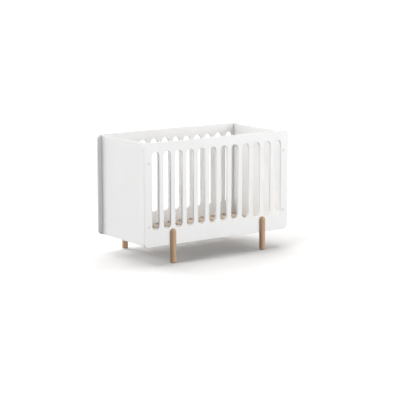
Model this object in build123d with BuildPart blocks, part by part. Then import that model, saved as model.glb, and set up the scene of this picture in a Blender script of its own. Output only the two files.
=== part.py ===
from build123d import *
import os

# Baby crib: two slotted side panels, two plain end panels set in between them,
# four half-lapped round legs and a slatted base that rests on pins at one of three heights.
# X runs along the crib, -Y is the front, Z is up. The origin is on the floor, under the middle.

# Room for the mattress
INNER_LENGTH = 1214.0
INNER_WIDTH = 602.0

# Boards of the sides and ends
BOARD = 18.0
OVERHANG = 35.0
GROUND = 134.0
SIDE_HEIGHT = 760.0
END_DROP = 7.0
CORNER_RADIUS = 36.0
EDGE_ROUND = 3.0

# Slots in the side panels
SLOT_COUNT = 12
SLOT_WIDTH = 62.0
SLOT_MARGIN = 102.0
BOTTOM_RAIL = 124.0
TOP_RAIL = 70.0

# Round legs, let into the panels by a half lap
LEG_DIAMETER = 46.0
LEG_FROM_END = 249.0
LEG_ABOVE = 120.0
LEG_CHAMFER = 2.0
LEG_BOLT_FIRST = 32.0
LEG_BOLT_SPACING = 46.0

# Plastic glides under the legs
GLIDE_DIAMETER = 36.0
GLIDE_THICKNESS = 3.0
GLIDE_STEM_DIAMETER = 6.0
GLIDE_STEM_LENGTH = 10.0

# Bolts, nuts and caps that hold the sides to the ends
BOLT_DIAMETER = 6.0
BOLT_HEAD_DIAMETER = 12.0
BOLT_HEAD_HEIGHT = 4.0
BOLT_RECESS = 6.0
BOLT_FROM_EDGE = 150.0
NUT_DIAMETER = 10.0
NUT_LENGTH = 14.0
NUT_SINK = 1.0
NUT_FROM_EDGE = 36.0
BOLT_PAST_NUT = 6.0
CAP_DIAMETER = 22.0
CAP_THICKNESS = 1.6
CAP_STEM = 1.4

# Wood dowels between the sides and the ends
DOWEL_DIAMETER = 8.0
DOWEL_IN_SIDE = 10.0
DOWEL_IN_END = 20.0
DOWEL_FROM_EDGE = 62.0

# Threaded inserts and the low-head bolts that hold the legs
INSERT_DIAMETER = 10.0
INSERT_LENGTH = 13.0
LOW_HEAD_DIAMETER = 11.0
LOW_HEAD_HEIGHT = 3.5
LOW_HEAD_RECESS = 4.0

# Slatted base
BASE_RISE = 38.0
BASE_GAP = 2.0
SLAT_COUNT = 11
SLAT_WIDTH = 61.0
SLAT_END_GAP = 20.5
SLAT_THICKNESS = 12.0
SLAT_ROUND = 2.0
LONG_RAIL_WIDTH = 36.0
LONG_RAIL_HEIGHT = 24.0
END_RAIL_WIDTH = 24.0

# Screws of the base
SCREW_DIAMETER = 4.0
SCREW_HEAD_DIAMETER = 8.0
SCREW_HEAD_HEIGHT = 2.6
SCREW_RECESS = 3.0
SLAT_SCREW_LENGTH = 26.0
RAIL_SCREW_LENGTH = 54.0
RAIL_SCREW_SPACING = 18.0

# Support pins of the base
PIN_DIAMETER = 8.0
PIN_LENGTH = 18.0
PIN_FLANGE_DIAMETER = 13.0
PIN_FLANGE = 1.2
PIN_FROM_SIDE = 60.0
PIN_ABOVE_RAIL = 12.0
PIN_THREAD_LENGTH = 12.0
BASE_STEP = 150.0
BASE_LEVELS = 3

# Clearances
HOLE_ROOM = 0.2
NOTCH_ROOM = 0.3

# Sizes that follow from the ones above
DEPTH = INNER_WIDTH + 2 * BOARD
SIDE_LENGTH = INNER_LENGTH + 2 * BOARD + 2 * OVERHANG
SIDE_TOP = GROUND + SIDE_HEIGHT
END_HEIGHT = SIDE_HEIGHT - END_DROP
END_MIDDLE_X = INNER_LENGTH / 2 + BOARD / 2
SLOT_PITCH = (SIDE_LENGTH - 2 * SLOT_MARGIN) / (SLOT_COUNT - 1)
SLOT_LENGTH = SIDE_HEIGHT - BOTTOM_RAIL - TOP_RAIL
SLOT_MIDDLE = GROUND + BOTTOM_RAIL + SLOT_LENGTH / 2

LEG_RADIUS = LEG_DIAMETER / 2
LEG_X = SIDE_LENGTH / 2 - LEG_FROM_END
LEG_Y = DEPTH / 2 + LEG_RADIUS - BOARD
LEG_TOP = GROUND + LEG_ABOVE
LEG_BOLT_HEIGHTS = [GROUND + LEG_BOLT_FIRST + i * LEG_BOLT_SPACING for i in range(2)]

BOLT_HEIGHTS = [GROUND + BOLT_FROM_EDGE, SIDE_TOP - BOLT_FROM_EDGE]
BOLT_LENGTH = BOARD - BOLT_RECESS + NUT_FROM_EDGE + NUT_DIAMETER / 2 + BOLT_PAST_NUT
BOLT_BORE_DEPTH = BOLT_LENGTH - (BOARD - BOLT_RECESS) + HOLE_ROOM
DOWEL_HEIGHTS = [GROUND + DOWEL_FROM_EDGE, GROUND + END_HEIGHT - DOWEL_FROM_EDGE]

BASE_LENGTH = INNER_LENGTH - 2 * BASE_GAP
BASE_WIDTH = INNER_WIDTH - 2 * BASE_GAP
BASE_TOP = GROUND + BASE_RISE
SLAT_BOTTOM = BASE_TOP - SLAT_THICKNESS
RAIL_BOTTOM = SLAT_BOTTOM - LONG_RAIL_HEIGHT
LONG_RAIL_LENGTH = BASE_LENGTH - 2 * END_RAIL_WIDTH
LONG_RAIL_Y = BASE_WIDTH / 2 - LONG_RAIL_WIDTH / 2
SLAT_PITCH = (LONG_RAIL_LENGTH - 2 * SLAT_END_GAP - SLAT_WIDTH) / (SLAT_COUNT - 1)
SLAT_PLACES = [(i - (SLAT_COUNT - 1) / 2) * SLAT_PITCH for i in range(SLAT_COUNT)]
RAIL_SCREW_HEIGHT = RAIL_BOTTOM + LONG_RAIL_HEIGHT / 2
PIN_Y = BASE_WIDTH / 2 - PIN_FROM_SIDE
PIN_HEIGHT = RAIL_BOTTOM + PIN_ABOVE_RAIL

SIDES = {"front": -1, "back": 1}
ENDS = {"left": -1, "right": 1}

os.makedirs("parts", exist_ok=True)


def save(piece, name):
    """Label a finished piece and write it as its own file."""
    piece.part.label = name
    export_step(piece.part, f"parts/{name}.step")


def lengthwise_plane(y, outward):
    """Upright plane across Y that faces outward (-1 or 1), with its own y axis up."""
    return Plane(origin=(0, y, 0), x_dir=(-outward, 0, 0), z_dir=(0, outward, 0))


def crosswise_plane(x, outward):
    """Upright plane across X that faces outward (-1 or 1), with its own y axis up."""
    return Plane(origin=(x, 0, 0), x_dir=(0, outward, 0), z_dir=(outward, 0, 0))


def headed_pin(planes, head_diameter, head_height, shank_diameter, shank_length):
    """Group of bolts or screws: each head stands on its plane and each shank hangs behind it."""
    with BuildPart() as group:
        with BuildSketch(*planes):
            Circle(head_diameter / 2)
        extrude(amount=head_height)
        with BuildSketch(*planes):
            Circle(shank_diameter / 2)
        extrude(amount=-shank_length)
    return group


# Side panels
def side_panel(side):
    """Slotted board with rounded corners, drilled for the frame bolts, dowels and leg bolts."""
    outer_face = lengthwise_plane(side * DEPTH / 2, side)
    inner_face = lengthwise_plane(side * (DEPTH / 2 - BOARD), -side)
    with BuildPart() as panel:
        with BuildSketch(outer_face):
            with Locations((0, GROUND + SIDE_HEIGHT / 2)):
                RectangleRounded(SIDE_LENGTH, SIDE_HEIGHT, CORNER_RADIUS)
            with Locations((0, SLOT_MIDDLE)):
                with GridLocations(SLOT_PITCH, 0, SLOT_COUNT, 1):
                    SlotOverall(SLOT_LENGTH, SLOT_WIDTH, rotation=90, mode=Mode.SUBTRACT)
        extrude(amount=-BOARD)
        fillet(panel.faces().filter_by(Axis.Y).edges(), EDGE_ROUND)
        with Locations(outer_face):
            with Locations(*[(x, z) for x in (-END_MIDDLE_X, END_MIDDLE_X) for z in BOLT_HEIGHTS]):
                CounterBoreHole(
                    BOLT_DIAMETER / 2 + HOLE_ROOM,
                    BOLT_HEAD_DIAMETER / 2 + 2 * HOLE_ROOM,
                    BOLT_RECESS,
                    BOARD,
                )
        with Locations(inner_face):
            with Locations(*[(x, z) for x in (-END_MIDDLE_X, END_MIDDLE_X) for z in DOWEL_HEIGHTS]):
                Hole(DOWEL_DIAMETER / 2 + HOLE_ROOM / 2, DOWEL_IN_SIDE)
            with Locations(*[(x, z) for x in (-LEG_X, LEG_X) for z in LEG_BOLT_HEIGHTS]):
                CounterBoreHole(
                    BOLT_DIAMETER / 2 + HOLE_ROOM,
                    LOW_HEAD_DIAMETER / 2 + HOLE_ROOM,
                    LOW_HEAD_RECESS,
                    BOARD,
                )
    return panel


for side_name, side in SIDES.items():
    save(side_panel(side), f"{side_name}_side_panel")


# End panels
def end_panel(end):
    """Plain board between the sides, drilled for bolts, nuts, dowels and the base supports."""
    inner_face = crosswise_plane(end * INNER_LENGTH / 2, -end)
    with BuildPart() as panel:
        with BuildSketch(inner_face):
            with Locations((0, GROUND + END_HEIGHT / 2)):
                Rectangle(INNER_WIDTH, END_HEIGHT)
        extrude(amount=-BOARD)
        cross_edges = panel.edges().filter_by(Axis.Y).group_by(Axis.Z)
        fillet(cross_edges[0] + cross_edges[-1], EDGE_ROUND)
        with Locations(inner_face):
            nut_y = INNER_WIDTH / 2 - NUT_FROM_EDGE
            with Locations(*[(y, z) for y in (-nut_y, nut_y) for z in BOLT_HEIGHTS]):
                Hole(NUT_DIAMETER / 2 + HOLE_ROOM / 2, NUT_SINK + NUT_LENGTH)
            levels = [PIN_HEIGHT + i * BASE_STEP for i in range(BASE_LEVELS)]
            with Locations(*[(y, z) for y in (-PIN_Y, PIN_Y) for z in levels]):
                Hole(INSERT_DIAMETER / 2 + HOLE_ROOM / 2, INSERT_LENGTH)
        for side in SIDES.values():
            with Locations(lengthwise_plane(side * INNER_WIDTH / 2, side)):
                along = -side * end * END_MIDDLE_X
                with Locations(*[(along, z) for z in BOLT_HEIGHTS]):
                    Hole(BOLT_DIAMETER / 2 + HOLE_ROOM, BOLT_BORE_DEPTH)
                with Locations(*[(along, z) for z in DOWEL_HEIGHTS]):
                    Hole(DOWEL_DIAMETER / 2 + HOLE_ROOM / 2, DOWEL_IN_END)
    return panel


for end_name, end in ENDS.items():
    save(end_panel(end), f"{end_name}_end_panel")


# Bolts, nuts, caps and dowels that join the sides to the ends
joint_places = [(end, side, z) for end in ENDS.values() for side in SIDES.values() for z in BOLT_HEIGHTS]

bolt_seats = []
cap_seats = []
for end, side, z in joint_places:
    seat_y = side * (DEPTH / 2 - BOLT_RECESS)
    bolt_seats.append(Plane(origin=(end * END_MIDDLE_X, seat_y, z), z_dir=(0, side, 0)))
    cap_seats.append(Plane(origin=(end * END_MIDDLE_X, side * DEPTH / 2, z), z_dir=(0, side, 0)))

frame_bolts = headed_pin(bolt_seats, BOLT_HEAD_DIAMETER, BOLT_HEAD_HEIGHT, BOLT_DIAMETER, BOLT_LENGTH)
save(frame_bolts, "frame_bolts")

with BuildPart() as bolt_caps:
    with BuildSketch(*cap_seats):
        Circle(CAP_DIAMETER / 2)
    extrude(amount=CAP_THICKNESS)
    rims = bolt_caps.edges().filter_by(GeomType.CIRCLE)
    outer_rims = rims.filter_by(lambda rim: abs(rim.center().Y) > DEPTH / 2 + CAP_THICKNESS / 2)
    fillet(outer_rims, CAP_THICKNESS / 2)
    with BuildSketch(*cap_seats):
        Circle(BOLT_HEAD_DIAMETER / 2 + HOLE_ROOM)
    extrude(amount=-CAP_STEM)
save(bolt_caps, "bolt_caps")

with BuildPart() as barrel_nuts:
    for end, side, z in joint_places:
        nut_y = side * (INNER_WIDTH / 2 - NUT_FROM_EDGE)
        deep_end = end * (INNER_LENGTH / 2 + NUT_SINK + NUT_LENGTH)
        with BuildSketch(Plane(origin=(deep_end, nut_y, z), z_dir=(-end, 0, 0))):
            Circle(NUT_DIAMETER / 2)
        extrude(amount=NUT_LENGTH)
    for end, side, z in joint_places:
        nut_y = side * (INNER_WIDTH / 2 - NUT_FROM_EDGE)
        with BuildSketch(Plane(origin=(end * END_MIDDLE_X, nut_y, z), z_dir=(0, side, 0))):
            Circle(BOLT_DIAMETER / 2 + HOLE_ROOM / 2)
        extrude(amount=NUT_DIAMETER, both=True, mode=Mode.SUBTRACT)
save(barrel_nuts, "barrel_nuts")

with BuildPart() as wood_dowels:
    for end in ENDS.values():
        for side in SIDES.values():
            for z in DOWEL_HEIGHTS:
                deep_end = (end * END_MIDDLE_X, side * (INNER_WIDTH / 2 - DOWEL_IN_END), z)
                with BuildSketch(Plane(origin=deep_end, z_dir=(0, side, 0))):
                    Circle(DOWEL_DIAMETER / 2)
                extrude(amount=DOWEL_IN_END + DOWEL_IN_SIDE)
save(wood_dowels, "wood_dowels")


# Legs
def leg(end, side):
    """Round leg with a domed top, lapped half away above the panel's lower edge."""
    leg_x = end * LEG_X
    leg_y = side * LEG_Y
    lap_face = lengthwise_plane(side * DEPTH / 2, -side)
    with BuildPart() as post:
        with BuildSketch(Plane(origin=(leg_x, leg_y, 0), x_dir=(1, 0, 0), z_dir=(0, -1, 0))):
            with BuildLine():
                Polyline(
                    (0, LEG_TOP),
                    (0, GLIDE_THICKNESS),
                    (LEG_RADIUS - LEG_CHAMFER, GLIDE_THICKNESS),
                    (LEG_RADIUS, GLIDE_THICKNESS + LEG_CHAMFER),
                    (LEG_RADIUS, LEG_TOP - LEG_RADIUS),
                )
                CenterArc((0, LEG_TOP - LEG_RADIUS), LEG_RADIUS, 0, 90)
            make_face()
        revolve(axis=Axis((leg_x, leg_y, 0), (0, 0, 1)))
        with BuildSketch(Plane(origin=(leg_x, side * (DEPTH / 2 - LEG_RADIUS), GROUND))):
            Rectangle(2 * LEG_DIAMETER, LEG_DIAMETER)
        extrude(amount=2 * LEG_ABOVE, mode=Mode.SUBTRACT)
        with Locations(lap_face):
            with Locations(*[(side * leg_x, z) for z in LEG_BOLT_HEIGHTS]):
                Hole(INSERT_DIAMETER / 2 + HOLE_ROOM / 2, INSERT_LENGTH)
        with Locations(Plane(origin=(leg_x, leg_y, GLIDE_THICKNESS), z_dir=(0, 0, -1))):
            Hole(GLIDE_STEM_DIAMETER / 2 + HOLE_ROOM / 2, GLIDE_STEM_LENGTH + HOLE_ROOM)
    return post


for side_name, side in SIDES.items():
    for end_name, end in ENDS.items():
        save(leg(end, side), f"{side_name}_{end_name}_leg")

leg_places = [(end, side) for end in ENDS.values() for side in SIDES.values()]

glide_seats = [
    Plane(origin=(end * LEG_X, side * LEG_Y, GLIDE_THICKNESS), z_dir=(0, 0, -1)) for end, side in leg_places
]
leg_glides = headed_pin(
    glide_seats, GLIDE_DIAMETER, GLIDE_THICKNESS, GLIDE_STEM_DIAMETER, GLIDE_STEM_LENGTH
)
save(leg_glides, "leg_glides")

leg_bolt_seats = [
    Plane(
        origin=(end * LEG_X, side * (DEPTH / 2 - BOARD + LOW_HEAD_RECESS), z),
        z_dir=(0, -side, 0),
    )
    for end, side in leg_places
    for z in LEG_BOLT_HEIGHTS
]
leg_bolts = headed_pin(
    leg_bolt_seats,
    LOW_HEAD_DIAMETER,
    LOW_HEAD_HEIGHT,
    BOLT_DIAMETER,
    BOARD - LOW_HEAD_RECESS + INSERT_LENGTH - HOLE_ROOM,
)
save(leg_bolts, "leg_bolts")


def inserts(planes):
    """Group of threaded inserts, each flush with its plane and sunk behind it."""
    with BuildPart() as group:
        with BuildSketch(*planes):
            Circle(INSERT_DIAMETER / 2)
            Circle(BOLT_DIAMETER / 2 + HOLE_ROOM / 2, mode=Mode.SUBTRACT)
        extrude(amount=-INSERT_LENGTH)
    return group


leg_insert_faces = [
    Plane(origin=(end * LEG_X, side * DEPTH / 2, z), z_dir=(0, -side, 0))
    for end, side in leg_places
    for z in LEG_BOLT_HEIGHTS
]
save(inserts(leg_insert_faces), "leg_inserts")

# Support pins of the base and their inserts at every level
pin_faces = []
support_faces = []
for end, side in leg_places:
    for level in range(BASE_LEVELS):
        face = Plane(
            origin=(end * INNER_LENGTH / 2, side * PIN_Y, PIN_HEIGHT + level * BASE_STEP),
            z_dir=(-end, 0, 0),
        )
        support_faces.append(face)
        if level == 0:
            pin_faces.append(face)
save(inserts(support_faces), "support_inserts")

with BuildPart() as support_pins:
    with BuildSketch(*pin_faces):
        Circle(PIN_FLANGE_DIAMETER / 2)
    extrude(amount=PIN_FLANGE)
    with BuildSketch(*pin_faces):
        Circle(PIN_DIAMETER / 2)
    extrude(amount=PIN_LENGTH)
    with BuildSketch(*pin_faces):
        Circle(BOLT_DIAMETER / 2)
    extrude(amount=-PIN_THREAD_LENGTH)
save(support_pins, "support_pins")


# Base rails
def long_rail(side):
    """Rail along the base, with pilot bores for the slat screws and the end rail screws."""
    with BuildPart() as rail:
        with BuildSketch(Plane.XY.offset(RAIL_BOTTOM)):
            with Locations((0, side * LONG_RAIL_Y)):
                Rectangle(LONG_RAIL_LENGTH, LONG_RAIL_WIDTH)
        extrude(amount=LONG_RAIL_HEIGHT)
        with Locations(Plane.XY.offset(SLAT_BOTTOM)):
            with Locations(*[(x, side * LONG_RAIL_Y) for x in SLAT_PLACES]):
                bite = SLAT_SCREW_LENGTH - (SLAT_THICKNESS - SCREW_RECESS)
                Hole(SCREW_DIAMETER / 2 + HOLE_ROOM / 2, bite + HOLE_ROOM)
        for end in ENDS.values():
            with Locations(crosswise_plane(end * LONG_RAIL_LENGTH / 2, end)):
                with Locations((end * side * LONG_RAIL_Y, RAIL_SCREW_HEIGHT)):
                    with GridLocations(RAIL_SCREW_SPACING, 0, 2, 1):
                        bite = RAIL_SCREW_LENGTH - (END_RAIL_WIDTH - SCREW_RECESS)
                        Hole(SCREW_DIAMETER / 2 + HOLE_ROOM / 2, bite + HOLE_ROOM)
    return rail


for side_name, side in SIDES.items():
    save(long_rail(side), f"base_{side_name}_rail")


def end_rail(end):
    """Rail across the base, notched from below to drop over the support pins."""
    outer_face = crosswise_plane(end * BASE_LENGTH / 2, end)
    notch_width = PIN_DIAMETER + 2 * NOTCH_ROOM
    with BuildPart() as rail:
        with BuildSketch(outer_face):
            with Locations((0, (RAIL_BOTTOM + BASE_TOP) / 2)):
                Rectangle(BASE_WIDTH, BASE_TOP - RAIL_BOTTOM)
            with Locations((-PIN_Y, PIN_HEIGHT), (PIN_Y, PIN_HEIGHT)):
                Circle(notch_width / 2, mode=Mode.SUBTRACT)
            with Locations((-PIN_Y, PIN_HEIGHT - PIN_ABOVE_RAIL), (PIN_Y, PIN_HEIGHT - PIN_ABOVE_RAIL)):
                Rectangle(notch_width, 2 * PIN_ABOVE_RAIL, mode=Mode.SUBTRACT)
        extrude(amount=-END_RAIL_WIDTH)
        fillet(rail.edges().filter_by(Axis.Y).group_by(Axis.Z)[-1], SLAT_ROUND)
        with Locations(outer_face):
            for side in SIDES.values():
                with Locations((side * LONG_RAIL_Y, RAIL_SCREW_HEIGHT)):
                    with GridLocations(RAIL_SCREW_SPACING, 0, 2, 1):
                        CounterBoreHole(
                            SCREW_DIAMETER / 2 + HOLE_ROOM / 2,
                            SCREW_HEAD_DIAMETER / 2 + HOLE_ROOM,
                            SCREW_RECESS,
                            END_RAIL_WIDTH,
                        )
    return rail


for end_name, end in ENDS.items():
    save(end_rail(end), f"base_{end_name}_rail")

rail_screw_seats = [
    Plane(
        origin=(
            end * (BASE_LENGTH / 2 - SCREW_RECESS),
            side * LONG_RAIL_Y + shift * RAIL_SCREW_SPACING / 2,
            RAIL_SCREW_HEIGHT,
        ),
        z_dir=(end, 0, 0),
    )
    for end, side in leg_places
    for shift in (-1, 1)
]
rail_screws = headed_pin(
    rail_screw_seats, SCREW_HEAD_DIAMETER, SCREW_HEAD_HEIGHT, SCREW_DIAMETER, RAIL_SCREW_LENGTH
)
save(rail_screws, "rail_screws")


# Slats
def slat(x):
    """Slat across the base with eased upper edges, screwed down at both ends."""
    with BuildPart() as board:
        with BuildSketch(Plane.XY.offset(SLAT_BOTTOM)):
            with Locations((x, 0)):
                Rectangle(SLAT_WIDTH, BASE_WIDTH)
        extrude(amount=SLAT_THICKNESS)
        fillet(board.edges().filter_by(Axis.Y).group_by(Axis.Z)[-1], SLAT_ROUND)
        with Locations(Plane.XY.offset(BASE_TOP)):
            with Locations((x, -LONG_RAIL_Y), (x, LONG_RAIL_Y)):
                CounterBoreHole(
                    SCREW_DIAMETER / 2 + HOLE_ROOM / 2,
                    SCREW_HEAD_DIAMETER / 2 + HOLE_ROOM,
                    SCREW_RECESS,
                    SLAT_THICKNESS,
                )
    return board


for number, x in enumerate(SLAT_PLACES, start=1):
    save(slat(x), f"slat_{number:02d}")

slat_screw_seats = [
    Plane(origin=(x, side * LONG_RAIL_Y, BASE_TOP - SCREW_RECESS))
    for x in SLAT_PLACES
    for side in SIDES.values()
]
slat_screws = headed_pin(
    slat_screw_seats, SCREW_HEAD_DIAMETER, SCREW_HEAD_HEIGHT, SCREW_DIAMETER, SLAT_SCREW_LENGTH
)
save(slat_screws, "slat_screws")
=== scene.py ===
import bpy
import bmesh
import math
from collections import namedtuple
from mathutils import Matrix, Vector


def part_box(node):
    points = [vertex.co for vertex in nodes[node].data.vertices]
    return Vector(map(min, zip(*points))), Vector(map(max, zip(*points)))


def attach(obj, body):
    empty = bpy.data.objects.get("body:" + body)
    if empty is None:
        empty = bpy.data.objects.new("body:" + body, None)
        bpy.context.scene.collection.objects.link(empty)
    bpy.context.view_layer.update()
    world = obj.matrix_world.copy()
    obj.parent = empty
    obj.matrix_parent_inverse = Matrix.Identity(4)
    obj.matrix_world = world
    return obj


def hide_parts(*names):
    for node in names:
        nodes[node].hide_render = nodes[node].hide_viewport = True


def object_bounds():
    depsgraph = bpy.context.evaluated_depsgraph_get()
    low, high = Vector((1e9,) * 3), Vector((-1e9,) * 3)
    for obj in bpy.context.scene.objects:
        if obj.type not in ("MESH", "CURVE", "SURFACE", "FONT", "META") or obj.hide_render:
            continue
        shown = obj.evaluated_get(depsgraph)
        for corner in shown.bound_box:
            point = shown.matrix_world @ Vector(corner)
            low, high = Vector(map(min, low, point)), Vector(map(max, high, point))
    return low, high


# Baby crib: white lacquered boards, round wooden legs and a slatted wooden base.
# Metres throughout. X runs along the crib, -Y is the front, Z is up.

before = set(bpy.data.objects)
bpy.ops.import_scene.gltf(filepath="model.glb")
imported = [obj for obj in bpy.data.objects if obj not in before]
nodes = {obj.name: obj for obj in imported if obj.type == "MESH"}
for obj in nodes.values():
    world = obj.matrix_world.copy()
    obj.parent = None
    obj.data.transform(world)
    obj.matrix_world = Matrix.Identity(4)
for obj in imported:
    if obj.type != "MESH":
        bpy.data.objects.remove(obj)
cad_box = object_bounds()

# Imported pieces by kind, with a factor for each leg that paints light and shade into its wood: the back
# legs are painted paler for the lamp behind them
PANELS = ("front_side_panel", "back_side_panel", "left_end_panel", "right_end_panel")
LEG_PAINTED_LIGHT = {
    "front_left_leg": 1.03,
    "front_right_leg": 1.01,
    "back_left_leg": 1.25,
    "back_right_leg": 1.15,
}
LONG_RAILS = ("base_front_rail", "base_back_rail")
END_RAILS = ("base_left_rail", "base_right_rail")
SLATS = tuple(sorted(name for name in nodes if name.removeprefix("slat_").isdigit()))
STEEL_PARTS = ("frame_bolts", "barrel_nuts", "leg_bolts", "support_pins", "slat_screws", "rail_screws")

# Colours, linear
WHITE = (1.0, 1.0, 1.0)
LACQUER_WHITE = (0.85, 0.85, 0.847)
LEG_PALE = (0.55, 0.365, 0.230)
LEG_DARK = (0.42, 0.263, 0.154)
BASE_PALE = (0.78, 0.65, 0.535)
BASE_DARK = (0.63, 0.50, 0.385)
DOWEL_PALE = (0.66, 0.53, 0.38)
DOWEL_DARK = (0.52, 0.39, 0.25)
ZINC = (0.80, 0.81, 0.82)
NICKEL = (0.86, 0.85, 0.83)
BRASS = (0.72, 0.53, 0.24)
CAP_WHITE = (0.745, 0.745, 0.74)
GLIDE_GREY = (0.17, 0.155, 0.14)

# Roughness of each finish where it is smoothest, and how much it adds where it is roughest
LACQUER_ROUGH = 0.34
LEG_ROUGH = 0.42
BASE_ROUGH = 0.55
DOWEL_ROUGH = 0.60
ZINC_ROUGH = 0.30
BRASS_ROUGH = 0.32
NICKEL_ROUGH = 0.34
CAP_ROUGH = 0.36
GLIDE_ROUGH = 0.50
LACQUER_ADDS = 0.10
WOOD_ADDS = 0.12
METAL_ADDS = 0.14
PLASTIC_ADDS = 0.12

# Wood: how far each pattern is drawn out along the grain, and its share in the tone
RING_DRAW = 0.07
FIBRE_DRAW = 0.018
BROAD_DRAW = 0.05
PORE_DRAW = 0.05
RING_SHARE = 0.42
FIBRE_SHARE = 0.55
BROAD_SHARE = 0.8
RING_WANDER = 0.030
PORE_TONE = 0.55
PORE_DEPTH = 1.5

# Lacquer, metal and plastic: how far the tone drifts, and the share of fine specks in the lacquer
LACQUER_PALEST = 1.012
LACQUER_DARKEST = 0.985
METAL_DARKEST = 0.82
PLASTIC_DARKEST = 0.95
SPECK_SHARE = 0.25

# Turns that lay the grain of the wood along one axis
GRAIN_X = (0.0, math.radians(90.0), 0.0)
GRAIN_Y = (math.radians(90.0), 0.0, 0.0)
GRAIN_Z = (0.0, 0.0, 0.0)

# Where each piece lies in the pattern of its finish, so that no two look alike
LACQUER_STEP = Vector((0.7, 1.3, 0.4))
LEG_PITH_ASIDE = 0.045
LEG_PITH_ACROSS = 0.030
LEG_STEP = 0.61
SLAT_PITH_ASIDE = 0.02
SLAT_PITH_BELOW = 0.05
SLAT_PITH_LOWER = 0.013
SLAT_STEP = 0.83
LONG_RAIL_PITH = Vector((0.11, 0.0, 0.9))
LONG_RAIL_STEP = Vector((0.0, 0.37, 0.0))
END_RAIL_PITH = Vector((0.23, 0.0, 1.7))
END_RAIL_STEP = Vector((0.0, 0.41, 0.0))
DOWEL_PITH = (0.3, 0.2, 0.1)

# Screws and bolts: head across and high, shank across and long, depth of the drive, thread pitch
Fastener = namedtuple("Fastener", "head_wide head_high shank_wide shank_long drive_deep pitch")
SLAT_SCREW = Fastener(0.008, 0.0026, 0.004, 0.026, 0.0015, 0.002)
RAIL_SCREW = Fastener(0.008, 0.0026, 0.004, 0.054, 0.0015, 0.003)
LEG_BOLT = Fastener(0.011, 0.0035, 0.006, 0.0268, 0.0022, 0.0012)

# Drives: reach and half width of a cross recess's arms, and half a hex socket from flat to flat
CROSS_ARM = 0.0021
CROSS_HALF = 0.00055
HEX_HALF = 0.002

# Points round a hex socket, and the least number that a length is divided by
HEX_STEPS = 24
TINY = 1e-6

# Shanks: tip, point and plain lengths as shares of the radius, thread depth as a share of the pitch
TIP_RADIUS = 0.25
POINT_LONG = 1.5
PLAIN_LONG = 1.0
NECK_LONG = 0.9
THREAD_DEEP = 0.30
RINGS_A_TURN = 3

# Heads: underside, flat tops and the drive's taper as shares of a radius, the rest as shares of the height
UNDERSIDE = 0.96
WIDEST = 0.06
PAN_FLAT = 0.58
PAN_SHOULDER = 0.30
SOCKET_FLAT = 0.91
SOCKET_SHOULDER = 0.84
SOCKET_INNER = 0.52
DRIVE_RIM = 0.985
DRIVE_TAPER = 0.86

# Turn from one fastener to the next in radians, and the angle from which an edge is drawn sharp
FASTENER_TURN = 2.4
SHARP_ANGLE = math.radians(32.0)

# The two sides of the middle, along X or Y
SIDES = (-1, 1)

# Camera fitted to the photograph
CAMERA_PLACE = (-6.486, -9.127, 2.337)
CAMERA_YAW = 35.655
CAMERA_PITCH = 9.936
CAMERA_LENS = 134.77
CAMERA_REACH = 500.0
SENSOR = 36.0

# Floor: its colour as the camera sees it, and the darker one by which it throws light on the crib
FLOOR_SIZE = 160.0
FLOOR_SEEN = (0.504, 0.50, 0.497)
FLOOR_BOUNCE = (0.13, 0.13, 0.13)

# Light: each lamp's angle round from +X and above the floor, its level on white, and its width in degrees
AMBIENT = 0.145
FLOOR_LAMPS = {
    "floor_high_right": (45.0, 65.0, 0.43, 34.0),
    "floor_high_left": (135.0, 65.0, 0.42, 34.0),
    "floor_right": (0.0, 28.0, 0.74, 34.0),
    "floor_left": (180.0, 28.0, 1.14, 34.0),
    "floor_back": (90.0, 28.0, 1.08, 34.0),
    "floor_back_right": (45.0, 28.0, 0.53, 34.0),
}
CRIB_LAMPS = {
    "left_high": (159.0, 46.0, 0.71, 36.0),
    "right_back": (30.0, 18.0, 0.38, 50.0),
    "back_left": (120.0, 4.0, 0.71, 50.0),
    "front": (270.0, 4.0, 0.35, 50.0),
}
FRONT_LAMP = (300.0, 11.5, 0.72, 50.0)
FRONT_LAMP_DISTANCE = 11.0

# Lamps behind the crib, which would whiten the top edges of its boards with glare
NO_GLARE = ("right_back", "back_left")

# Places of the two colours and the result among the sockets of Blender's Mix node
MIX_FIRST = 6
MIX_SECOND = 7
MIX_RESULT = 2


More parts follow.
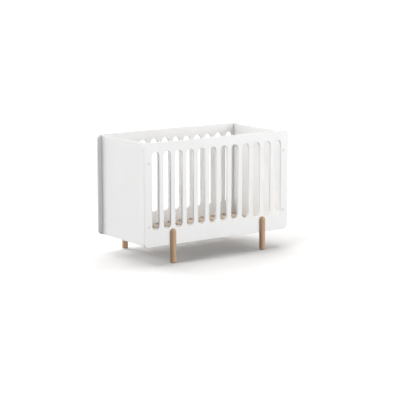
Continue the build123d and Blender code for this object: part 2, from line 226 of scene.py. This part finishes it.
class Graph:
    """Small helper that adds and joins the nodes of one material or world."""

    def __init__(self, tree):
        self.tree = tree
        self.tree.nodes.clear()

    def add(self, kind, settings=None, **inputs):
        """Add a node, set its properties, and join or set its inputs by name."""
        node = self.tree.nodes.new(kind)
        for key, value in (settings or {}).items():
            setattr(node, key, value)
        for key, value in inputs.items():
            self.feed(node, key.replace("_", " "), value)
        return node

    def feed(self, node, key, value):
        """Join an output to an input, or set the input's own number, vector or colour."""
        socket = node.inputs[key]
        if isinstance(value, bpy.types.NodeSocket):
            self.tree.links.new(value, socket)
        elif socket.type == "RGBA":
            socket.default_value = (*value, 1.0)
        else:
            socket.default_value = value

    def math(self, operation, first, second):
        """One arithmetic node on two numbers."""
        node = self.add("ShaderNodeMath", {"operation": operation})
        self.feed(node, 0, first)
        self.feed(node, 1, second)
        return node.outputs[0]

    def ramp(self, value, low, high, low_out=0.0, high_out=1.0):
        """Straight change from one number to another, held outside the two limits."""
        limits = {"From_Min": low, "From_Max": high, "To_Min": low_out, "To_Max": high_out}
        return self.add("ShaderNodeMapRange", {"clamp": True}, Value=value, **limits).outputs["Result"]

    def mix(self, factor, first, second):
        """Mix two colours."""
        node = self.add("ShaderNodeMix", {"data_type": "RGBA"}, Factor=factor)
        self.feed(node, MIX_FIRST, first)
        self.feed(node, MIX_SECOND, second)
        return node.outputs[MIX_RESULT]

    def place(self, turn=(0.0, 0.0, 0.0), shift=(0.0, 0.0, 0.0), scale=(1.0, 1.0, 1.0)):
        """Coordinates of the object, turned, moved and scaled."""
        where = self.add("ShaderNodeTexCoord").outputs["Object"]
        turned = self.add("ShaderNodeMapping", Vector=where, Rotation=turn, Location=shift)
        return self.add("ShaderNodeMapping", Vector=turned.outputs[0], Scale=scale).outputs[0]

    def noise(self, where, scale, detail=3.0, rough=0.55):
        """Noise value at the coordinates."""
        node = self.add("ShaderNodeTexNoise", Vector=where, Scale=scale, Detail=detail, Roughness=rough)
        return node.outputs["Fac"]

    def bump(self, height, strength, distance):
        """Normal roughened by a height."""
        node = self.add("ShaderNodeBump", Height=height, Strength=strength, Distance=distance)
        return node.outputs["Normal"]

    def looked_at(self, plain, seen):
        """One shader for rays that carry light about, another for the camera, mirrors and glass."""
        path = self.add("ShaderNodeLightPath").outputs
        direct = self.math("MAXIMUM", path["Is Camera Ray"], path["Is Glossy Ray"])
        direct = self.math("MAXIMUM", direct, path["Is Transmission Ray"])
        either = self.add("ShaderNodeMixShader", Fac=direct)
        self.feed(either, 1, plain.outputs[0])
        self.feed(either, 2, seen.outputs[0])
        return either.outputs[0]


def new_material(name):
    """Empty node material and its graph."""
    made = bpy.data.materials.new(name)
    made.use_nodes = True
    return made, Graph(made.node_tree)


def surface(graph, color, roughness, normal, metallic=0.0):
    """Principled shader joined to the output."""
    shader = graph.add("ShaderNodeBsdfPrincipled", Roughness=roughness, Normal=normal, Metallic=metallic)
    graph.feed(shader, "Base Color", color)
    graph.add("ShaderNodeOutputMaterial", Surface=shader.outputs[0])


def shade(color, factor):
    """Lighter or darker version of a colour."""
    return tuple(factor * part for part in color)


def lacquer(name, shift):
    """Sprayed satin lacquer: faint tone drift, orange peel and uneven gloss."""
    made, graph = new_material(name)
    where = graph.place(shift=shift)
    drift = graph.ramp(graph.noise(where, scale=5.0), low=0.3, high=0.7)
    color = graph.mix(drift, shade(LACQUER_WHITE, LACQUER_DARKEST), shade(LACQUER_WHITE, LACQUER_PALEST))
    peel = graph.noise(where, scale=210.0, detail=2.0)
    speck = graph.noise(where, scale=1500.0, detail=2.0)
    height = graph.math("ADD", peel, graph.math("MULTIPLY", speck, SPECK_SHARE))
    normal = graph.bump(height, strength=0.10, distance=0.0004)
    patches = graph.noise(where, scale=38.0)
    roughest = LACQUER_ROUGH + LACQUER_ADDS
    rough = graph.ramp(patches, low=0.25, high=0.75, low_out=LACQUER_ROUGH, high_out=roughest)
    surface(graph, color, rough, normal)
    return made


def late_wood(graph, along):
    """Growth rings that wander, dark towards the end of each year."""
    wander = graph.add("ShaderNodeTexNoise", Vector=along, Scale=9.0, Detail=3.0).outputs["Color"]
    bend = graph.add("ShaderNodeVectorMath", {"operation": "SCALE"}, Scale=RING_WANDER)
    graph.feed(bend, 0, wander)
    bent = graph.add("ShaderNodeVectorMath", {"operation": "ADD"})
    graph.feed(bent, 0, along)
    graph.feed(bent, 1, bend.outputs[0])
    kind = {"wave_type": "RINGS", "rings_direction": "Z", "wave_profile": "SAW"}
    sizes = {"Scale": 62.0, "Distortion": 1.6, "Detail": 3.0}
    rings = graph.add("ShaderNodeTexWave", kind, Vector=bent.outputs[0], **sizes)
    return graph.ramp(rings.outputs["Fac"], low=0.35, high=1.0)


def wood(name, turn, shift, pale, dark, smooth):
    """Clear-coated wood with growth rings, long fibres and short pores along its own Z."""
    made, graph = new_material(name)

    def along(draw):
        """Coordinates in the log, with the pattern drawn out along the grain."""
        return graph.place(turn, shift, (1.0, 1.0, draw))

    late = late_wood(graph, along(RING_DRAW))
    fibre = graph.noise(along(FIBRE_DRAW), scale=620.0, detail=4.0, rough=0.65)
    broad = graph.noise(along(BROAD_DRAW), scale=26.0)
    pores = graph.noise(along(PORE_DRAW), scale=1900.0, detail=1.0)
    rings_part = graph.math("MULTIPLY", late, RING_SHARE)
    fibre_part = graph.math("MULTIPLY", fibre, FIBRE_SHARE)
    broad_part = graph.math("MULTIPLY", graph.math("SUBTRACT", broad, 0.5), BROAD_SHARE)
    tone = graph.math("ADD", graph.math("ADD", rings_part, fibre_part), broad_part)
    color = graph.mix(graph.ramp(tone, low=0.15, high=0.85), pale, dark)
    dashes = graph.ramp(pores, low=0.62, high=0.72, high_out=0.28)
    color = graph.mix(dashes, color, shade(dark, PORE_TONE))
    height = graph.math("SUBTRACT", fibre, graph.math("MULTIPLY", dashes, PORE_DEPTH))
    rough = graph.ramp(fibre, low=0.3, high=0.7, low_out=smooth, high_out=smooth + WOOD_ADDS)
    surface(graph, color, rough, graph.bump(height, strength=0.22, distance=0.0004))
    return made


def metal(name, color, smooth):
    """Plated metal with a patchy tone and fine turning marks."""
    made, graph = new_material(name)
    where = graph.place()
    patches = graph.ramp(graph.noise(where, scale=240.0), low=0.3, high=0.7)
    grit = graph.noise(where, scale=2600.0, detail=2.0)
    rough = graph.ramp(grit, low=0.3, high=0.7, low_out=smooth, high_out=smooth + METAL_ADDS)
    normal = graph.bump(grit, strength=0.18, distance=0.0002)
    surface(graph, graph.mix(patches, shade(color, METAL_DARKEST), color), rough, normal, metallic=1.0)
    return made


def plastic(name, color, smooth):
    """Moulded plastic with a fine spark texture."""
    made, graph = new_material(name)
    where = graph.place()
    drift = graph.ramp(graph.noise(where, scale=60.0), low=0.3, high=0.7)
    grain = graph.noise(where, scale=1800.0, detail=2.0)
    rough = graph.ramp(grain, low=0.3, high=0.7, low_out=smooth, high_out=smooth + PLASTIC_ADDS)
    normal = graph.bump(grain, strength=0.15, distance=0.0002)
    surface(graph, graph.mix(drift, shade(color, PLASTIC_DARKEST), color), rough, normal)
    return made


def dress(name, material):
    """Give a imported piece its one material."""
    slots = nodes[name].data.materials
    slots.clear()
    slots.append(material)


def middle_of(name):
    """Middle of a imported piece's box."""
    low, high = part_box(name)
    return (low + high) / 2


def leg_pith(number, middle):
    """Pith beside a leg, on the other side for every second one, and further along the log for each."""
    side = (-1) ** number
    return (LEG_PITH_ASIDE - middle.x, side * LEG_PITH_ACROSS - middle.y, LEG_STEP * number)


def slat_pith(number, middle):
    """Pith below a slat, at five places across, four depths, and further along the log for each."""
    aside = SLAT_PITH_ASIDE * (number % 5 - 2)
    below = SLAT_PITH_BELOW + SLAT_PITH_LOWER * (number % 4)
    return (aside - middle.x, below, SLAT_STEP * number)


def base_wood(name, turn, pith):
    """Pale wood of one piece of the base."""
    return wood(f"base_wood_{name}", turn, pith, BASE_PALE, BASE_DARK, BASE_ROUGH)


# Boards
for number, name in enumerate(PANELS):
    dress(name, lacquer(f"white_lacquer_{name}", number * LACQUER_STEP))

# Legs, each with its wood made paler or darker by a factor that paints in the light falling on it
for number, (name, tone) in enumerate(LEG_PAINTED_LIGHT.items()):
    pith = leg_pith(number, middle_of(name))
    pale = shade(LEG_PALE, tone)
    dark = shade(LEG_DARK, tone)
    dress(name, wood(f"leg_wood_{name}", GRAIN_Z, pith, pale, dark, LEG_ROUGH))

# Base
for number, name in enumerate(LONG_RAILS):
    dress(name, base_wood(name, GRAIN_X, LONG_RAIL_PITH + number * LONG_RAIL_STEP))
for number, name in enumerate(END_RAILS):
    dress(name, base_wood(name, GRAIN_Y, END_RAIL_PITH + number * END_RAIL_STEP))
for number, name in enumerate(SLATS):
    dress(name, base_wood(name, GRAIN_Y, slat_pith(number, middle_of(name))))

# Hardware
zinc_steel = metal("zinc_steel", ZINC, ZINC_ROUGH)
for name in STEEL_PARTS:
    dress(name, zinc_steel)
dress("leg_inserts", metal("brass", BRASS, BRASS_ROUGH))
dress("support_inserts", metal("nickel_plated_brass", NICKEL, NICKEL_ROUGH))
dress("bolt_caps", plastic("white_plastic", CAP_WHITE, CAP_ROUGH))
dress("leg_glides", plastic("grey_plastic", GLIDE_GREY, GLIDE_ROUGH))
dress("wood_dowels", wood("base_wood_dowels", GRAIN_Y, DOWEL_PITH, DOWEL_PALE, DOWEL_DARK, DOWEL_ROUGH))


def link(made):
    """Put an object in the scene."""
    bpy.context.scene.collection.objects.link(made)
    return made


def cross_rim(angle):
    """From the middle to the rim of a cross recess."""
    across = max(abs(math.cos(angle)), TINY)
    along = max(abs(math.sin(angle)), TINY)
    level = min(CROSS_ARM / across, CROSS_HALF / along)
    upright = min(CROSS_HALF / across, CROSS_ARM / along)
    return max(level, upright)


def cross_angles():
    """Angles round a fastener that meet every corner of a cross recess, and the middles between them."""
    corner = math.degrees(math.atan2(CROSS_HALF, CROSS_ARM))
    inner = 45.0
    far_corner = 90.0 - corner
    quarter = (0.0, corner, (corner + inner) / 2, inner, (inner + far_corner) / 2, far_corner)
    return [math.radians(90.0 * turn + step) for turn in range(4) for step in quarter]


def hex_rim(angle):
    """From the middle to the rim of a six-sided socket."""
    sixth = math.radians(60.0)
    return HEX_HALF / math.cos(angle % sixth - sixth / 2)


def hex_angles():
    """Even angles round a fastener that meet every corner of a six-sided socket."""
    return [math.radians(360.0 * step / HEX_STEPS) for step in range(HEX_STEPS)]


def rounded_head(flat, shoulder, steps):
    """Shares of a head's radius and height, from its shoulder up its rounded edge to its flat top."""
    profile = []
    for step in range(steps + 1):
        turn = math.radians(90.0 * step / steps)
        profile.append((flat + (1 - flat) * math.cos(turn), shoulder + (1 - shoulder) * math.sin(turn)))
    return profile


# Kinds of drive: its rim, the angles that it needs and the head round it
Drive = namedtuple("Drive", "rim angles head")
CROSS_DRIVE = Drive(cross_rim, cross_angles(), rounded_head(PAN_FLAT, PAN_SHOULDER, steps=4))
HEX_HEAD = rounded_head(SOCKET_FLAT, SOCKET_SHOULDER, steps=2) + [(SOCKET_INNER, 1.0)]
HEX_DRIVE = Drive(hex_rim, hex_angles(), HEX_HEAD)


def thread_rings(sizes, angles):
    """Rings of points up the thread of one fastener, from the end of its point."""
    crest = sizes.shank_wide / 2
    threaded = sizes.shank_long - (POINT_LONG + PLAIN_LONG) * crest
    deep = THREAD_DEEP * sizes.pitch
    rings = []
    for row in range(int(RINGS_A_TURN * threaded / sizes.pitch)):
        level = -sizes.shank_long + POINT_LONG * crest + row * sizes.pitch / RINGS_A_TURN
        turns = [(level / sizes.pitch - angle / (2 * math.pi)) % 1.0 for angle in angles]
        rings.append(([crest - deep * abs(2 * turn - 1) for turn in turns], level))
    return rings


def fastener_rings(sizes, drive):
    """Rings of points from the tip of one fastener, up its thread and head, to the floor of its drive."""
    around = len(drive.angles)
    head = sizes.head_wide / 2
    crest = sizes.shank_wide / 2
    root = crest - THREAD_DEEP * sizes.pitch
    rings = [([TIP_RADIUS * crest] * around, -sizes.shank_long)]
    rings += thread_rings(sizes, drive.angles)
    rings.append(([root] * around, -NECK_LONG * crest))
    rings.append(([root] * around, 0.0))
    rings.append(([UNDERSIDE * head] * around, 0.0))
    rings.append(([head] * around, WIDEST * sizes.head_high))
    rings += [([across * head] * around, up * sizes.head_high) for across, up in drive.head]
    rim = [drive.rim(angle) for angle in drive.angles]
    rings.append((rim, DRIVE_RIM * sizes.head_high))
    rings.append(([DRIVE_TAPER * radius for radius in rim], sizes.head_high - sizes.drive_deep))
    return rings


def add_fastener(made, stand, rings, angles):
    """Add one fastener to a mesh, closed at its tip and at the floor of its drive."""
    loops = []
    for radii, level in rings:
        points = [Vector((r * math.cos(a), r * math.sin(a), level)) for r, a in zip(radii, angles)]
        loops.append([made.verts.new(stand @ point) for point in points])
    made.faces.new(reversed(loops[0]))
    made.faces.new(loops[-1])
    for low, high in zip(loops, loops[1:]):
        for step in range(len(angles)):
            after = (step + 1) % len(angles)
            made.faces.new((low[step], low[after], high[after], high[step]))


def fasteners(name, node, body, sizes, drive, places):
    """All the screws or bolts of one kind, each turned to its own angle about its axis."""
    rings = fastener_rings(sizes, drive)
    made = bmesh.new()
    for number, (place, facing) in enumerate(places):
        faced = Vector(facing).to_track_quat("Z", "Y").to_matrix().to_4x4()
        stand = Matrix.Translation(place) @ faced @ Matrix.Rotation(FASTENER_TURN * number, 4, "Z")
        add_fastener(made, stand, rings, drive.angles)
    mesh = bpy.data.meshes.new(name)
    made.to_mesh(mesh)
    made.free()
    mesh.shade_smooth()
    mesh.set_sharp_from_angle(angle=SHARP_ANGLE)
    mesh.materials.append(zinc_steel)
    piece = link(bpy.data.objects.new(name, mesh))
    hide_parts(node)
    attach(piece, body)


def slat_screw_places(line):
    """Where each slat is screwed down to the two long rails."""
    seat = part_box("slat_screws")[1].z - SLAT_SCREW.head_high
    return [((middle_of(slat).x, side * line, seat), (0, 0, 1)) for slat in SLATS for side in SIDES]


def rail_screw_places(line):
    """Where two screws at each corner of the base go through the end rails."""
    low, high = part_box("rail_screws")
    seat = high.x - RAIL_SCREW.head_high
    apart = high.y - RAIL_SCREW.head_wide / 2 - line
    level = (low.z + high.z) / 2
    lines = [side * line + shift for side in SIDES for shift in (-apart, apart)]
    return [((end * seat, across, level), (end, 0, 0)) for end in SIDES for across in lines]


def leg_bolt_places():
    """Where two bolts, one above the other, go through a side panel into each leg."""
    low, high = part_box("leg_bolts")
    seat = high.y - LEG_BOLT.shank_long
    levels = (low.z + LEG_BOLT.head_wide / 2, high.z - LEG_BOLT.head_wide / 2)
    places = []
    for leg in LEG_PAINTED_LIGHT:
        middle = middle_of(leg)
        side = math.copysign(1.0, middle.y)
        places += [((middle.x, side * seat, level), (0, -side, 0)) for level in levels]
    return places


# Screws and bolts, where those of the base follow the middle line of its long rails
rail_line = middle_of("base_back_rail").y
fasteners("slat_cross_screws", "slat_screws", "base", SLAT_SCREW, CROSS_DRIVE, slat_screw_places(rail_line))
fasteners("rail_cross_screws", "rail_screws", "base", RAIL_SCREW, CROSS_DRIVE, rail_screw_places(rail_line))
fasteners("leg_socket_bolts", "leg_bolts", "frame", LEG_BOLT, HEX_DRIVE, leg_bolt_places())


def make_floor():
    """White floor that keeps the crib's shadow."""
    half = FLOOR_SIZE / 2
    mesh = bpy.data.meshes.new("floor")
    corners = [(-half, -half, 0), (half, -half, 0), (half, half, 0), (-half, half, 0)]
    mesh.from_pydata(corners, [], [(0, 1, 2, 3)])
    made, graph = new_material("floor_white")
    seen = graph.add("ShaderNodeBsdfDiffuse", Color=FLOOR_SEEN)
    bounce = graph.add("ShaderNodeBsdfDiffuse", Color=FLOOR_BOUNCE)
    graph.add("ShaderNodeOutputMaterial", Surface=graph.looked_at(bounce, seen))
    mesh.materials.append(made)
    floor = link(bpy.data.objects.new("floor", mesh))
    return floor


def make_world():
    """Even fill light from all round, seen by the camera as white."""
    world = bpy.data.worlds.new("studio")
    world.use_nodes = True
    graph = Graph(world.node_tree)
    fill = graph.add("ShaderNodeBackground", Color=WHITE, Strength=AMBIENT)
    backdrop = graph.add("ShaderNodeBackground", Color=WHITE, Strength=1.0)
    graph.add("ShaderNodeOutputWorld", Surface=graph.looked_at(fill, backdrop))
    bpy.context.scene.world = world


def make_camera():
    """Camera at the photograph's viewing angle."""
    lens = bpy.data.cameras.new("camera")
    lens.sensor_width = SENSOR
    lens.lens = CAMERA_LENS
    lens.clip_end = CAMERA_REACH
    camera = link(bpy.data.objects.new("camera", lens))
    camera.location = CAMERA_PLACE
    camera.rotation_euler = (math.radians(90.0 - CAMERA_PITCH), 0.0, math.radians(-CAMERA_YAW))
    bpy.context.scene.camera = camera


def toward(azimuth, elevation):
    """Direction from the crib at an angle round from +X and above the floor."""
    around, above = math.radians(azimuth), math.radians(elevation)
    return Vector((math.cos(above) * math.cos(around), math.cos(above) * math.sin(around), math.sin(above)))


def new_lamp(name, kind, direction, lit):
    """Lamp that shines on one collection from a direction."""
    lamp = link(bpy.data.objects.new(name, bpy.data.lights.new(name, kind)))
    lamp.rotation_mode = "QUATERNION"
    lamp.rotation_quaternion = direction.to_track_quat("Z", "Y")
    lamp.light_linking.receiver_collection = lit
    return lamp


def far_lamp(name, lit, azimuth, elevation, level, width):
    """Broad lamp far off."""
    lamp = new_lamp(name, "SUN", toward(azimuth, elevation), lit)
    lamp.data.energy = level * math.pi
    lamp.data.angle = math.radians(width)
    lamp.visible_glossy = name not in NO_GLARE


def near_lamp(name, lit, distance, azimuth, elevation, level, width):
    """Broad round lamp near enough that its light falls off along the crib."""
    direction = toward(azimuth, elevation)
    half_width = math.radians(width / 2)
    radius = distance * math.tan(half_width)
    lamp = new_lamp(name, "AREA", direction, lit)
    lamp.data.shape = "DISK"
    lamp.data.size = 2 * radius
    lamp.data.energy = level * (math.pi * radius / math.sin(half_width)) ** 2
    lamp.location = (cad_box[0] + cad_box[1]) / 2 + distance * direction
    lamp.visible_camera = False


def lit_by(name, floor, state):
    """Collection that lamps shine on, with the floor as its only piece or its only exception."""
    made = bpy.data.collections.new(name)
    made.objects.link(floor)
    made.collection_objects[0].light_linking.link_state = state
    return made


make_world()
make_camera()
bpy.context.scene.view_settings.view_transform = "Standard"

# The floor and the crib have lamps of their own, so that the floor is white and its shadow deep
# while the crib's white boards stay below the floor's level
floor = make_floor()
on_floor = lit_by("on_floor", floor, "INCLUDE")
off_floor = lit_by("off_floor", floor, "EXCLUDE")
for name, settings in FLOOR_LAMPS.items():
    far_lamp(name, on_floor, *settings)
for name, settings in CRIB_LAMPS.items():
    far_lamp(name, off_floor, *settings)
near_lamp("front_right", off_floor, FRONT_LAMP_DISTANCE, *FRONT_LAMP)
